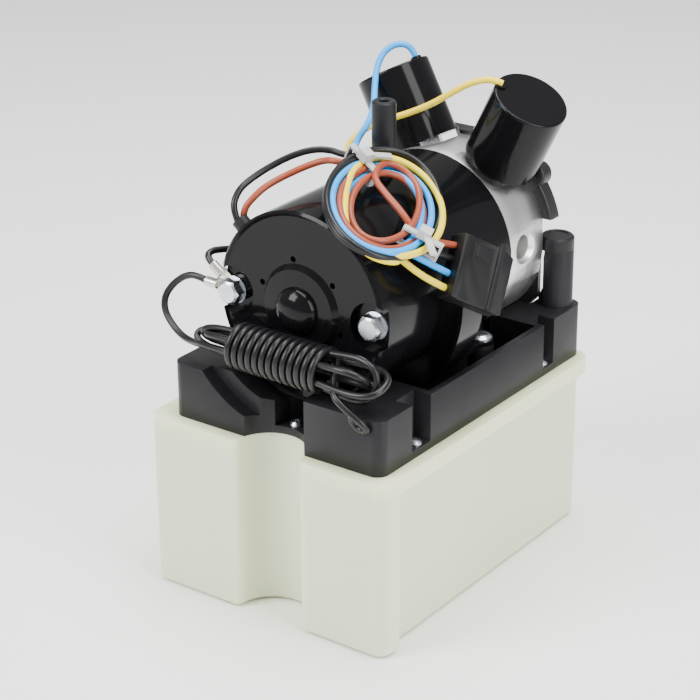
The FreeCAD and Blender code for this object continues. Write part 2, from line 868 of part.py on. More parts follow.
publish("end_cap", build_end_cap())
publish("motor_grommet", build_grommet())
publish("power_terminal", build_lug(1, 178.0))
publish("jumper_terminal", build_lug(0, 145.0))
publish("motor_can", tube(S.motor_radius, S.motor_radius - S.can_wall, S.can_front, S.pump_front))
publish("magnets", build_magnets())
publish("armature_core", build_armature_core())
publish("armature_windings", build_windings())
publish("commutator", build_commutator())
publish("brush_plate", build_brush_plate())
publish("brushes", build_brushes())
publish("brush_springs", build_brush_springs())
publish("through_bolts", build_through_bolts())
publish("motor_shaft", build_shaft())
publish("front_bush", tube(S.shaft_radius + S.bush_wall, S.shaft_radius + S.running_gap,
                           S.boss_front + 1.0, S.can_front - 1.6))
publish("rear_bush", tube(S.shaft_radius + S.bush_wall, S.shaft_radius + S.running_gap,
                          S.pump_front + S.seal_length, chamber_front))

# ------------------------------------------------------------------ saddle

saddle_back = S.saddle_front + S.saddle_length


def build_saddle():
    """A U-shaped collar under the motor, with a rolled lip and an ear for a screw each side."""
    collar = tube(S.saddle_radius, S.motor_radius, S.saddle_front, saddle_back)
    top = S.axis_height + 1.5
    collar = common(collar, block((-60.0, 60.0), (S.saddle_front - 1.0, saddle_back + 1.0),
                                  (60.0, top)))
    panel = tube(S.saddle_radius - 1.6, S.motor_radius + 2.0, S.saddle_front - 1.0,
                 S.saddle_front + 1.0)
    collar = cut(collar, panel)
    ears = []
    for side in (-1.0, 1.0):
        x = spans(side, S.saddle_screw_x - S.washer_head_radius, S.saddle_screw_x + 3.0)
        ears.append(block(x, (saddle_back - 2.0, S.saddle_screw_y),
                          (cover_top, cover_top + S.saddle_ear_thickness)))
        ears.append(rod(S.washer_head_radius + 0.6,
                        (side * S.saddle_screw_x, S.saddle_screw_y, cover_top),
                        S.saddle_ear_thickness, "Z"))
    clearance = rod(S.motor_radius, on_axis(-40.0), 80.0)
    holes = [rod(2.2, (side * S.saddle_screw_x, S.saddle_screw_y, cover_top - 1.0), 5.0, "Z")
             for side in (-1.0, 1.0)]
    return cut(fuse(collar, *ears), clearance, *holes)


def build_saddle_screws():
    seat = cover_top + S.saddle_ear_thickness
    return group(*[pan_screw(side * S.saddle_screw_x, S.saddle_screw_y, seat, 16.0,
                             S.washer_head_radius, 2.4, 2.0) for side in (-1.0, 1.0)])


publish("saddle", build_saddle())
publish("saddle_screws", build_saddle_screws())

# ------------------------------------------------------------------ pump

pitch_radius = S.gear_module * 6.0
driven_z = S.axis_height - 2 * pitch_radius
mesh_z = S.axis_height - pitch_radius
mid_y = chamber_front + S.gear_width / 2
pin_front = chamber_front - 5.0
chamber_radius = pitch_radius + S.gear_module + S.gear_tip_gap
TEETH = 12
PLATE_ANGLES = (35.0, 145.0, 215.0, 325.0)


def around(radius, angle):
    """x and z of a point about the motor's axis."""
    turn = math.radians(angle)
    return radius * math.cos(turn), S.axis_height + radius * math.sin(turn)


def neck_room():
    """Room for the filler neck behind the pump, and for its cap to pull out."""
    top = cover_top + S.neck_height + S.neck_cap_lift + S.neck_relief
    return rod(S.neck_radius + S.neck_relief, (S.neck_x, S.neck_y, cover_ledge), top - cover_ledge,
               "Z")


def valve_turn(side):
    """Local Z along the valve, local X towards the other valve."""
    tilts = (S.right_valve_tilt, S.right_valve_skew) if side > 0 else (
        S.left_valve_tilt, S.left_valve_skew)
    tilt, skew = [math.radians(number(angle)) for angle in tilts]
    reach = side * math.sin(tilt)
    along = Vector(reach * math.cos(skew), -reach * math.sin(skew), math.cos(tilt))
    return Rotation(Vector(-side, 0, 0), Vector(0, 0, 0), along, "ZXY")


def on_valve(side, item):
    """Puts a piece built about the origin onto one of the two valves' axes."""
    at = (S.right_valve_x, S.right_valve_y, S.right_valve_z) if side > 0 else (
        S.left_valve_x, S.left_valve_y, S.left_valve_z)
    return posed(item, at, valve_turn(side))


def along_relief(x):
    """A point on the relief valve's axis, x millimetres left of the motor's axis."""
    return (-x, S.relief_y, S.relief_z)


def gallery(start, length, along):
    """An oil passage drilled through the pump body."""
    return rod(S.gallery_radius, start, length, along)


def build_pump_body():
    front, rear = S.pump_front, S.pump_rear
    drum = fuse(
        rod(S.motor_radius, on_axis(front), rear - front),
        rod(S.motor_radius - S.can_wall - 0.1, on_axis(front - S.pump_spigot), S.pump_spigot + 1.0),
        block(both_ways(S.foot_half_width), (S.foot_front, S.foot_rear), (cover_ledge, 100.0)),
    )
    bores = [
        rod(chamber_radius, on_axis(chamber_front), S.bore_reach),
        rod(chamber_radius, (0.0, chamber_front, driven_z), S.bore_reach),
        rod(S.pin_radius, (0.0, pin_front, driven_z), 10.0),
        rod(S.seal_radius, on_axis(front - S.pump_spigot - 1.0), S.pump_spigot + 1.0 + S.seal_length),
        rod(S.shaft_radius + S.bush_wall, on_axis(front), S.bore_reach),
        rod(S.suction_radius, (S.suction_x, S.suction_y, cover_ledge - 1.0), 13.5, "Z"),
        neck_room(),
    ]
    galleries = [
        gallery((S.suction_x, S.suction_y, cover_ledge), mesh_z - cover_ledge, "Z"),
        gallery((S.suction_x, S.suction_y, mesh_z), mid_y - S.suction_y, "Y"),
        gallery((5.0, mid_y, mesh_z), S.suction_x - 4.0, "X"),
        gallery((S.outlet_x, mid_y, mesh_z), 22.0, "X"),
        gallery((S.outlet_x, mid_y, mesh_z), S.port_z - mesh_z, "Z"),
        gallery((S.outlet_x, S.port_y, S.port_z), mid_y - S.port_y, "Y"),
        gallery((S.riser_left_x, S.port_y + 4.0, S.port_z + 3.0), 22.0, "Z"),
        gallery((S.riser_right_x, S.port_y + 3.5, S.port_z + 3.0), 22.0, "Z"),
    ]
    ports = []
    for face, along in (("-X", -1.0), ("X", 1.0)):
        at = (along * (S.port_face - S.port_depth), S.port_y, S.port_z)
        ports.append(rod(S.port_radius, at, S.port_depth + 5.0, face))
        mouth = (along * (S.port_face - 0.8), S.port_y, S.port_z)
        ports.append(cone(S.port_radius, S.port_radius + 2.0, mouth, 2.0, face))
    relief = [
        rod(S.relief_bore, along_relief(S.relief_seat), 30.0, "-X"),
        rod(S.relief_radius, along_relief(S.relief_plug_start), 20.0, "-X"),
        rod(S.relief_passage, along_relief(12.0), 6.0, "-X"),
        rod(S.relief_passage, along_relief(13.0), mesh_z - S.relief_z, "Z"),
        rod(S.relief_passage, (-13.0, S.relief_y, mesh_z), mid_y - S.relief_y),
    ]
    seats = []
    for side in (-1.0, 1.0):
        stem = rod(S.stem_radius, (0.0, 0.0, -S.stem_depth), S.stem_depth + 5.0, "Z")
        pad = rod(S.coil_radius + 0.7, (0.0, 0.0, -S.valve_pad), 20.0, "Z")
        seats += [on_valve(side, stem), on_valve(side, pad)]
    screws = [rod(S.bolt_radius, (x, front - 5.0, z), S.bolt_reach + 5.0) for x, z in BOLTS]
    screws += pump_screw_rods(cover_ledge - 1.0, cover_ledge + 10.0)
    for angle in PLATE_ANGLES:
        x, z = around(S.plate_screw_circle, angle)
        screws.append(rod(2.0, (x, rear - 8.0, z), 10.0))
    for passage in galleries:
        drum = cut(drum, passage)
    for tools in (bores, ports, relief, seats, screws):
        drum = cut(drum, *tools)
    return drum


def build_pump_screws():
    """Screws from inside the reservoir, up through the cover into the pump's foot."""
    low = S.tank_height - S.cover_spigot
    length = cover_ledge + 9.5 - low
    screws = [posed(pan_screw(0.0, 0.0, 0.0, length, 3.2, 2.4, 2.0), (x, y, low), DIRECTIONS["-Z"])
              for x, y in PUMP_SCREWS]
    return group(*screws)


def gear_outline(bore_turn):
    """The tooth outline of one gear, as a closed wire; bore_turn sets where the teeth point."""
    module = number(S.gear_module)
    pitch = number(pitch_radius)
    base = pitch * math.cos(math.radians(20.0))
    tip = pitch + module * 0.95
    root = pitch - module * 1.15
    half_tooth = math.pi / (2 * TEETH) - number(S.gear_backlash) / pitch
    at_pitch = math.tan(math.acos(base / pitch)) - math.acos(base / pitch)
    flank = []
    for step in range(7):
        radius = max(base, root) + (tip - max(base, root)) * step / 6
        pressure = math.acos(min(1.0, base / radius))
        flank.append((radius, half_tooth + at_pitch - math.tan(pressure) + pressure))
    if root < base:
        flank.insert(0, (root, flank[0][1]))
    points = []
    for tooth in range(TEETH):
        middle = math.radians(bore_turn) + tooth * 2 * math.pi / TEETH
        around_tooth = [(r, middle - a) for r, a in flank] + [(r, middle + a) for r, a in flank[::-1]]
        points += [Vector(r * math.cos(a), 0, r * math.sin(a)) for r, a in around_tooth]
    return Part.makePolygon(points + [points[0]])


def build_gear(name, centre_z, bore, turn):
    """A spur gear along the motor's axis; its outline starts from the spreadsheet's module."""
    width = number(S.gear_width)
    blank = doc.addObject("Part::Feature", f"{name}_teeth")
    blank.Shape = Part.Face(gear_outline(turn)).extrude(Vector(0, width, 0))
    place(blank, (0.0, chamber_front + S.gear_end_gap, centre_z))
    return cut(blank, rod(bore, (0.0, chamber_front - 1.0, centre_z), width + 2.0))


def build_rear_plate():
    back = S.pump_rear + S.rear_plate_thickness
    x, z = around(S.rear_plate_radius - 0.5, 40.0)
    ear = rod(S.plate_ear, (x, S.pump_rear, z), S.rear_plate_thickness)
    disc = fuse(rod(S.rear_plate_radius, on_axis(S.pump_rear), S.rear_plate_thickness), ear)
    disc = rounded(disc, 1.2, lambda e: e.BoundBox.YMin > number(back) - 0.01 or (
        e.BoundBox.YMax < number(S.pump_rear) + 0.01))
    flat = block((-60.0, 60.0), (S.pump_rear - 1.0, back + 1.0), (S.axis_height + 39.5, 180.0))
    holes = [flat, neck_room(), rod(S.pin_radius, (0.0, S.pump_rear - 1.0, driven_z), 5.5)]
    for angle in PLATE_ANGLES:
        x, z = around(S.plate_screw_circle, angle)
        holes.append(rod(2.2, (x, S.pump_rear - 1.0, z), 10.0))
    for side in (-1.0, 1.0):
        holes.append(on_valve(side, rod(S.coil_radius + 0.7, (0.0, 0.0, -S.valve_pad), 20.0, "Z")))
    return cut(disc, *holes)


def build_plate_screws():
    screws = []
    seat = S.pump_rear + S.rear_plate_thickness
    for angle in PLATE_ANGLES:
        x, z = around(S.plate_screw_circle, angle)
        screw = pan_screw(0.0, 0.0, 0.0, S.rear_plate_thickness + 7.5, 3.4, 2.4, 2.0)
        screws.append(posed(screw, (x, seat, z), DIRECTIONS["Y"]))
    return group(*screws)


publish("pump_body", build_pump_body())
publish("pump_screws", build_pump_screws())
publish("shaft_seal", tube(S.seal_radius, S.shaft_radius + S.running_gap,
                           S.pump_front, S.pump_front + S.seal_length))
publish("drive_gear", build_gear("drive_gear", S.axis_height, S.shaft_radius, -90.0))
publish("driven_gear", build_gear("driven_gear", driven_z, S.pin_radius + S.running_gap, 105.0))
publish("gear_pin", rod(S.pin_radius, (0.0, pin_front, driven_z), S.pump_rear + 4.0 - pin_front))
publish("rear_plate", build_rear_plate())
publish("rear_plate_screws", build_plate_screws())

# ------------------------------------------------------------------ relief valve and suction


def build_relief_poppet():
    """A cone-nosed poppet that lifts towards -X."""
    radius = S.relief_bore - S.running_gap
    profile = [
        (0.0, 0.1),
        (0.8, 0.1),
        (radius, 3.0),
        (radius, 6.0),
        (1.2, 6.0),
        (1.2, 8.0),
        (0.0, 8.0),
    ]
    return turned("relief_poppet", profile, along_relief(S.relief_seat), "-X")


def build_relief_plug():
    """The screwed plug that holds the spring, with a hexagon socket in its face."""
    length = 7.5
    socket = along_relief(S.relief_plug_start + length - 3.0)
    return cut(
        rod(S.relief_radius, along_relief(S.relief_plug_start), length, "-X"),
        hexagon(4.0, socket, 5.0, "-X"),
    )


def build_suction_tube():
    low = S.suction_end
    return cut(
        rod(S.suction_radius, (S.suction_x, S.suction_y, low), cover_ledge + 12.0 - low, "Z"),
        rod(S.suction_radius - 1.2, (S.suction_x, S.suction_y, low - 1.0), 80.0, "Z"),
    )


def build_strainer():
    """A slotted cup on the foot of the suction tube."""
    low = S.suction_end - 12.0
    height = 16.0
    at = (S.suction_x, S.suction_y, low)
    wall = 1.4
    cup = cut(
        rod(S.strainer_radius, at, height, "Z"),
        rod(S.strainer_radius - wall, (S.suction_x, S.suction_y, low + wall), height - 5.4, "Z"),
        rod(S.suction_radius, (S.suction_x, S.suction_y, S.suction_end), 6.0, "Z"),
    )
    slots = []
    for index in range(8):
        bar = block((-12.0, 12.0), (-0.6, 0.6), (2.5, 10.5))
        slots.append(posed(bar, at, Rotation(Vector(0, 0, 1), index * 22.5)))
    return cut(cup, *slots)


publish("relief_poppet", build_relief_poppet())
publish("relief_spring", coil_spring("relief_coil", along_relief(S.relief_seat + 6.3), "-X",
                                     2.1, 0.6, 5.4, 5))
publish("relief_plug", build_relief_plug())
publish("suction_tube", build_suction_tube())
publish("suction_strainer", build_strainer())

# ------------------------------------------------------------------ solenoid valves

STEM_END = 2.0


def build_solenoid_can(side):
    height = S.coil_height
    shell = S.coil_shell
    outside = rounded(rod(S.coil_radius, (0.0, 0.0, 0.0), height, "Z"), 0.9,
                      lambda e: e.BoundBox.ZMin > number(height) - 0.1)
    turn = math.radians(22.0) if side > 0 else 0.0
    reach = S.coil_radius - 2.2
    nub = rod(2.2, (reach * math.cos(turn), reach * math.sin(turn), height - 3.0), 3.8, "Z")
    return on_valve(side, cut(
        fuse(outside, nub),
        rod(S.coil_radius - shell, (0.0, 0.0, shell), height - 2 * shell, "Z"),
        rod(S.coil_bore, (0.0, 0.0, -1.0), 5.0, "Z"),
    ))


def build_solenoid_coil(side):
    """The winding on its bobbin, between the shell and the stem."""
    length = S.coil_height - 2 * S.coil_shell - 0.2
    return on_valve(side, cut(
        rod(S.coil_radius - S.coil_shell - 0.1, (0.0, 0.0, S.coil_shell + 0.1), length, "Z"),
        rod(S.coil_bore, (0.0, 0.0, 0.0), 40.0, "Z"),
    ))


def build_stem(side):
    """The tube the coil sits on: threaded into the pump body, with a hexagon under the coil."""
    bore = S.plunger_radius + S.running_gap
    return on_valve(side, cut(
        fuse(
            rod(S.stem_radius, (0.0, 0.0, -S.stem_depth), S.stem_depth + S.stem_top, "Z"),
            hexagon(15.0, (0.0, 0.0, -3.0), 3.0, "Z"),
        ),
        rod(bore, (0.0, 0.0, 2.5 - S.stem_depth), S.stem_depth - 2.5 + S.stem_top - STEM_END, "Z"),
        rod(1.6, (0.0, 0.0, -S.stem_depth - 1.0), 5.0, "Z"),
        rod(1.3, (-10.0, 0.0, 5.0 - S.stem_depth), 20.0, "X"),
    ))


def build_plunger(side):
    """The iron plunger, with a cone that shuts the seat at the bottom of the stem."""
    low = 2.6 - S.stem_depth
    top = low + S.plunger_length
    radius = S.plunger_radius
    profile = [
        (0.0, low),
        (1.0, low),
        (2.4, low + 1.6),
        (2.4, low + 4.0),
        (radius, low + 4.0),
        (radius, top),
        (0.0, top),
    ]
    return on_valve(side, turned("plunger", profile, (0.0, 0.0, 0.0), "Z"))


def build_plunger_spring(side):
    low = 2.6 - S.stem_depth + S.plunger_length
    length = S.stem_top - STEM_END - low
    coils = coil_spring("coils", (0.0, 0.0, low + 0.5), "Z", 3.3, 0.8, number(length) - 1.0, 6)
    return on_valve(side, coils)


for side, word in ((-1.0, "left"), (1.0, "right")):
    publish(f"solenoid_can_{word}", build_solenoid_can(side))
    publish(f"solenoid_coil_{word}", build_solenoid_coil(side))
    publish(f"valve_stem_{word}", build_stem(side))
    publish(f"plunger_{word}", build_plunger(side))
    publish(f"plunger_spring_{word}", build_plunger_spring(side))

# ------------------------------------------------------------------ fittings


def build_vent_tube():
    at = (S.vent_tube_x, S.vent_tube_y, S.axis_height)
    top = S.motor_radius + S.vent_tube_height
    foot = S.motor_radius
    profile = [
        (S.vent_tube_bore, foot - 4.0),
        (S.vent_tube_radius + 0.9, foot - 4.0),
        (S.vent_tube_radius + 0.9, foot + 1.2),
        (S.vent_tube_radius, foot + 3.5),
        (S.vent_tube_radius, top - 0.6),
        (S.vent_tube_radius - 0.6, top),
        (S.vent_tube_bore + 0.4, top),
        (S.vent_tube_bore, top - 0.4),
    ]
    return cut(turned("vent_tube", profile, at, "Z"), rod(S.motor_radius, on_axis(-20.0), 40.0))


CONNECTOR_AT = (51.9, -30.4, 131.3)
CONNECTOR_TURN = Rotation(Vector(0.42, 0.77, -0.49), Vector(0, 0, 0), Vector(0.904, -0.28, 0.335),
                          "ZXY")


def build_connector():
    """A flat two-part housing: local X along its width, Y up, Z out of the visible face."""
    width, height, depth = S.connector_width, S.connector_height, S.connector_depth
    shell = block((0.0, width), (0.0, height), (-depth, 0.0))
    flange = block((-0.8, 2.6), (0.0, height), (-depth * 0.5, 1.0))
    rib_x = width * 0.68
    rib = block((rib_x, rib_x + 2.4), (0.0, height + 1.4), (-depth * 0.4, 1.0))
    slope = posed(block((0.0, 20.0), (0.0, 10.0), (-20.0, 5.0)), (rib_x + 2.4, height, 0.0),
                  Rotation(Vector(0, 0, 1), -24.0))
    latch = block((width * 0.25, width * 0.55), (height - 7.0, height - 2.5), (-1.0, 0.8))
    return posed(cut(fuse(shell, flange, rib, latch), slope), CONNECTOR_AT, CONNECTOR_TURN)


HARNESS_AT = (21.1, -29.9, 159.1)
HARNESS_TURN = Rotation(Vector(0.364, -0.908, -0.208), Vector(0, 0, 0), Vector(0.451, -0.024, 0.892),
                        "ZXY")


def stadium(half_length, half_width, low, high):
    """A long-round plate about the local Z axis."""
    reach = half_length - half_width
    return fuse(
        rod(half_width, (-reach, 0.0, low), high - low, "Z"),
        rod(half_width, (reach, 0.0, low), high - low, "Z"),
        block(both_ways(reach), both_ways(half_width), (low, high)),
    )


def build_harness_coil():
    """The outer shape of the coiled wires."""
    half = S.harness_thickness / 2
    band = S.harness_band
    ring = cut(
        stadium(S.harness_half_length, S.harness_half_width, -half, half),
        stadium(S.harness_half_length - band, S.harness_half_width - band, -half - 1.0, half + 1.0),
    )
    ring = rounded(ring, 1.8, lambda e: abs(e.BoundBox.ZMax - e.BoundBox.ZMin) < 0.01)
    return posed(ring, HARNESS_AT, HARNESS_TURN)


def build_tie(centre_x, angle, tail_turn, tail_length):
    """A plastic tie round the coil; angle is where it crosses, seen along local Z."""
    half = S.harness_thickness / 2 + 0.1
    inner = S.harness_half_width - S.harness_band - 0.2
    outer = S.harness_half_width + 0.2
    sheet_gauge = 0.9
    width = 1.3
    band = cut(
        block((inner - sheet_gauge, outer + sheet_gauge), both_ways(width),
              (-half - sheet_gauge, half + sheet_gauge)),
        block((inner, outer), both_ways(width + 1.0), both_ways(half)),
    )
    middle = (inner + outer) / 2
    head = block((middle - 2.4, middle + 2.4), (-2.2, 2.2), (half + 0.2, half + 4.0))
    tail = posed(block((0.0, tail_length), both_ways(width), (0.0, sheet_gauge)),
                 (middle, 0.0, half + 1.8), Rotation(Vector(0, 0, 1), tail_turn))
    tie = posed(fuse(band, head, tail), (centre_x, 0.0, 0.0), Rotation(Vector(0, 0, 1), angle))
    return posed(tie, HARNESS_AT, HARNESS_TURN)


def build_power_hank():
    """The outer shape of the cable wound up in front of the cover."""
    profile = [
        (0.0, -43.0),
        (4.0, -43.0),
        (6.0, -40.0),
        (7.0, -22.0),
        (9.5, -22.0),
        (9.5, 22.0),
        (11.0, 22.0),
        (9.0, 48.0),
        (5.0, 50.0),
        (0.0, 50.0),
    ]
    return turned("power_hank", profile, (0.0, -65.5, 106.5), "X")


end_reach = S.harness_half_length - S.harness_half_width
publish("vent_tube", build_vent_tube())
publish("connector", build_connector())
publish("harness_coil", build_harness_coil())
publish("cable_ties", group(build_tie(-end_reach, -127.0, -108.0, 11.0),
                            build_tie(end_reach, 85.0, -56.0, 12.0)))
publish("power_hank", build_power_hank())

# ------------------------------------------------------------------ cords

# Each cord runs through its points, with every corner rounded off.
CORDS = {
    "wire_blue": [[
        (-21.4, 52.6, 189.8), (-22.6, 52.3, 193.0), (-25.8, 49.9, 195.4), (-29.6, 46.5, 194.2),
        (-31.6, 42.8, 190.4), (-30.7, 38.5, 185.3), (-27.5, 33.0, 179.8), (-22.8, 26.0, 175.1),
        (-17.8, 15.0, 172.3), (-13.8, 3.0, 170.9), (-8.0, -8.0, 170.3), (1.4, -13.6, 169.0),
    ]],
    "wire_yellow": [[
        (27.2, 41.0, 189.9), (23.9, 39.1, 191.4), (20.0, 37.6, 191.0), (14.6, 36.4, 188.9),
        (7.9, 35.0, 184.5), (-0.7, 34.0, 178.6), (-9.5, 33.0, 174.0), (-17.6, 32.0, 170.4),
        (-24.6, 28.5, 167.6), (-26.6, 20.5, 165.4), (-22.6, 9.0, 165.2), (-16.2, -1.5, 165.8),
        (-8.6, -7.6, 166.2), (-1.2, -8.8, 166.6), (4.4, -8.4, 167.0),
    ]],
    "wire_brown": [[
        (-30.4, -48.2, 148.9), (-30.2, -48.0, 153.4), (-28.2, -44.4, 157.4), (-26.4, -39.0, 160.7),
        (-22.0, -31.0, 164.0), (-16.6, -25.4, 167.0), (-10.6, -23.0, 169.6), (-4.8, -24.0, 170.6),
        (0.6, -26.6, 169.8),
    ]],
    "wire_black": [[
        (-30.4, -51.0, 148.9), (-33.0, -51.4, 154.0), (-33.8, -46.6, 159.6), (-32.6, -40.4, 162.6),
        (-29.0, -33.0, 166.2), (-24.0, -26.4, 169.6), (-18.6, -21.0, 171.6), (-12.6, -17.4, 171.8),
        (-6.2, -16.6, 170.6), (1.2, -19.5, 169.4),
    ]],
    "harness_leads": [
        [(37.4, -29.6, 149.4), (41.4, -26.0, 149.2), (46.0, -16.3, 145.3)],
        [(37.8, -33.0, 148.4), (42.0, -29.0, 146.8), (46.7, -19.6, 140.8)],
        [(37.8, -37.0, 147.4), (42.4, -33.4, 143.8), (47.4, -22.9, 136.2)],
        [(35.8, -41.6, 147.0), (40.8, -39.4, 142.6), (44.8, -34.6, 137.6), (48.0, -26.1, 131.7)],
    ],
    "power_cable": [[
        (-45.0, -52.6, 122.4), (-49.6, -53.2, 124.0), (-54.9, -54.0, 123.1), (-59.9, -55.6, 119.0),
        (-62.8, -57.6, 113.8), (-61.8, -59.2, 108.6), (-57.2, -60.6, 104.6), (-51.4, -62.2, 101.9),
        (-44.8, -63.8, 101.2), (-37.8, -65.2, 102.6),
    ]],
    "jumper_wire": [[
        (-43.0, -51.7, 129.7), (-46.0, -51.5, 131.6), (-46.8, -48.2, 133.0), (-45.2, -43.0, 132.4),
        (-43.8, -35.0, 130.4), (-42.4, -23.0, 128.6), (-41.4, -9.0, 127.8), (-41.0, 7.0, 128.0),
        (-40.9, 20.0, 129.4), (-39.9, 31.0, 131.4), (-35.4, 38.2, 133.4),
    ]],
}
ROUNDING = 0.45


def route(points):
    """Straight runs joined by tangent arcs; also returns the tightest arc."""
    corners = [Vector(*point) for point in points]
    start = corners[0]
    edges = []
    tightest = math.inf
    for before, corner, after in zip(corners, corners[1:], corners[2:]):
        into = (corner - before).normalize()
        out = (after - corner).normalize()
        shorter = min((corner - before).Length, (after - corner).Length)
        half_turn = into.getAngle(out) / 2
        radius = ROUNDING * shorter / math.tan(half_turn)
        entry = corner - into * (ROUNDING * shorter)
        leave = corner + out * (ROUNDING * shorter)
        middle = corner + (out - into).normalize() * (radius / math.cos(half_turn) - radius)
        edges.append(Part.LineSegment(start, entry).toShape())
        edges.append(Part.Arc(entry, middle, leave).toShape())
        start = leave
        tightest = min(tightest, radius)
    edges.append(Part.LineSegment(start, corners[-1]).toShape())
    return Part.Wire(edges), tightest


def build_cord(name, points, diameter):
    path, tightest = route(points)
    heading = Vector(*points[1]) - Vector(*points[0])
    section = Part.Wire(Part.makeCircle(diameter / 2, Vector(*points[0]), heading))
    item = doc.addObject("Part::Feature", name)
    item.Shape = path.makePipeShell([section], True, False)
    wanted = math.pi * (diameter / 2) ** 2 * path.Length
    print(f"{name}: length {path.Length:.1f} mm, tightest radius {tightest:.1f} mm, "
          f"volume {item.Shape.Volume / wanted:.3f} of section times length")
    return item


for name, paths in CORDS.items():
    thick = name in ("power_cable", "jumper_wire")
    diameter = number(S.cable_diameter if thick else S.wire_diameter)
    cords = [build_cord(name, points, diameter) for points in paths]
    publish(name, cords[0] if len(cords) == 1 else group(*cords))

# ------------------------------------------------------------------ checks and export


def check_and_export():
    doc.recompute()
    for item in doc.Objects:
        bad = [state for state in item.State if state in ("Invalid", "Error")]
        if bad:
            raise RuntimeError(f"{item.Name} ({item.Label}) is {bad}")
    for name, item in PARTS.items():
        if item.Shape.isNull() or not item.Shape.isValid():
            raise RuntimeError(f"{name} has no valid shape")
    os.makedirs("parts", exist_ok=True)
    for name, item in PARTS.items():
        item.Shape.exportStep(f"parts/{name}.step")
        box = item.Shape.BoundBox
        print(f"{name}: {len(item.Shape.Solids)} solids, {item.Shape.Volume:.0f} mm3, "
              f"x {box.XMin:.1f}..{box.XMax:.1f} y {box.YMin:.1f}..{box.YMax:.1f} "
              f"z {box.ZMin:.1f}..{box.ZMax:.1f}")
    print(len(PARTS), "parts")


check_and_export()
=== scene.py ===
import json
import math

import bpy
from mathutils import Matrix, Vector


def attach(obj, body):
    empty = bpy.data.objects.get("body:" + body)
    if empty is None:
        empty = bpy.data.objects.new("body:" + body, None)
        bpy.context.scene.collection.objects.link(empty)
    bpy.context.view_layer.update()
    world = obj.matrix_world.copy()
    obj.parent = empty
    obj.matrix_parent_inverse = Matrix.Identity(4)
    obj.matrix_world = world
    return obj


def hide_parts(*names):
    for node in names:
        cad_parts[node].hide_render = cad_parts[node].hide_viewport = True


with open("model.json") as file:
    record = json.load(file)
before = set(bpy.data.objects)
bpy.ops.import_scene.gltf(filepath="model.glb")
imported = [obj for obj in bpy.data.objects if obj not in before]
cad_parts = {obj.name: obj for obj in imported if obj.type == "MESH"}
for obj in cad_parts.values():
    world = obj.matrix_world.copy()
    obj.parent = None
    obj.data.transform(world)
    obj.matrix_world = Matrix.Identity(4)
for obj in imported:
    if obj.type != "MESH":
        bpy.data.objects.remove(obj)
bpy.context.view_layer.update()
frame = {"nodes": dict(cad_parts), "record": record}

# The look of a small hydraulic power unit. Metres in the row frame; the lists of route
# points are in millimetres, as the part's source has them.

NODES = frame["nodes"]
SLOT_OF = {part["node"]: part["material_slot"] for part in frame["record"]["subparts"]}
COLOURS = {slot["slot"]: slot["base_color"] for slot in frame["record"]["materials"]}
MM = 0.001
ROOT = "unit"

# ------------------------------------------------------------------ materials


class Surface:
    """A Principled material and the few procedural nodes that vary it."""

    def __init__(self, name):
        self.material = bpy.data.materials.new(name)
        self.material.use_nodes = True
        self.nodes = self.material.node_tree.nodes
        self.links = self.material.node_tree.links
        self.shader = self.nodes["Principled BSDF"]

    def set(self, **values):
        """Uniform values, by socket name with underscores for spaces."""
        for socket, value in values.items():
            self.shader.inputs[socket.replace("_", " ")].default_value = value
        return self

    def place(self, stretch):
        """Object coordinates, stretched so that a pattern can run along one axis."""
        place = self.nodes.new("ShaderNodeTexCoord")
        scale = self.nodes.new("ShaderNodeMapping")
        scale.inputs["Scale"].default_value = stretch
        self.links.new(place.outputs["Object"], scale.inputs["Vector"])
        return scale.outputs["Vector"]

    def noise(self, scale, stretch=(1.0, 1.0, 1.0), detail=4.0):
        pattern = self.nodes.new("ShaderNodeTexNoise")
        pattern.inputs["Scale"].default_value = scale
        pattern.inputs["Detail"].default_value = detail
        self.links.new(self.place(stretch), pattern.inputs["Vector"])
        return pattern.outputs["Fac"]

    def mottle(self, pattern, low, high):
        """The base colour wanders between two near shades."""
        ramp = self.nodes.new("ShaderNodeValToRGB")
        ramp.color_ramp.elements[0].position = 0.3
        ramp.color_ramp.elements[0].color = (*low, 1.0)
        ramp.color_ramp.elements[1].position = 0.7
        ramp.color_ramp.elements[1].color = (*high, 1.0)
        self.links.new(pattern, ramp.inputs["Fac"])
        self.links.new(ramp.outputs["Color"], self.shader.inputs["Base Color"])
        return self

    def wear(self, pattern, low, high):
        """The roughness wanders between two values."""
        spread = self.nodes.new("ShaderNodeMapRange")
        spread.inputs["To Min"].default_value = low
        spread.inputs["To Max"].default_value = high
        self.links.new(pattern, spread.inputs["Value"])
        self.links.new(spread.outputs["Result"], self.shader.inputs["Roughness"])
        return self

    def bump(self, pattern, strength, distance=0.0002):
        lift = self.nodes.new("ShaderNodeBump")
        lift.inputs["Strength"].default_value = strength
        lift.inputs["Distance"].default_value = distance
        self.links.new(pattern, lift.inputs["Height"])
        self.links.new(lift.outputs["Normal"], self.shader.inputs["Normal"])
        return self


def shade(colour, factor):
    return tuple(min(1.0, channel * factor) for channel in colour)


# The wires' vinyl, in stronger colours than the record's plain ones.
VINYL = {
    "insulation_blue": (0.008, 0.33, 0.86),
    "insulation_yellow": (0.88, 0.68, 0.025),
    "insulation_brown": (0.30, 0.062, 0.028),
    "cable_black": (0.006, 0.006, 0.007),
}


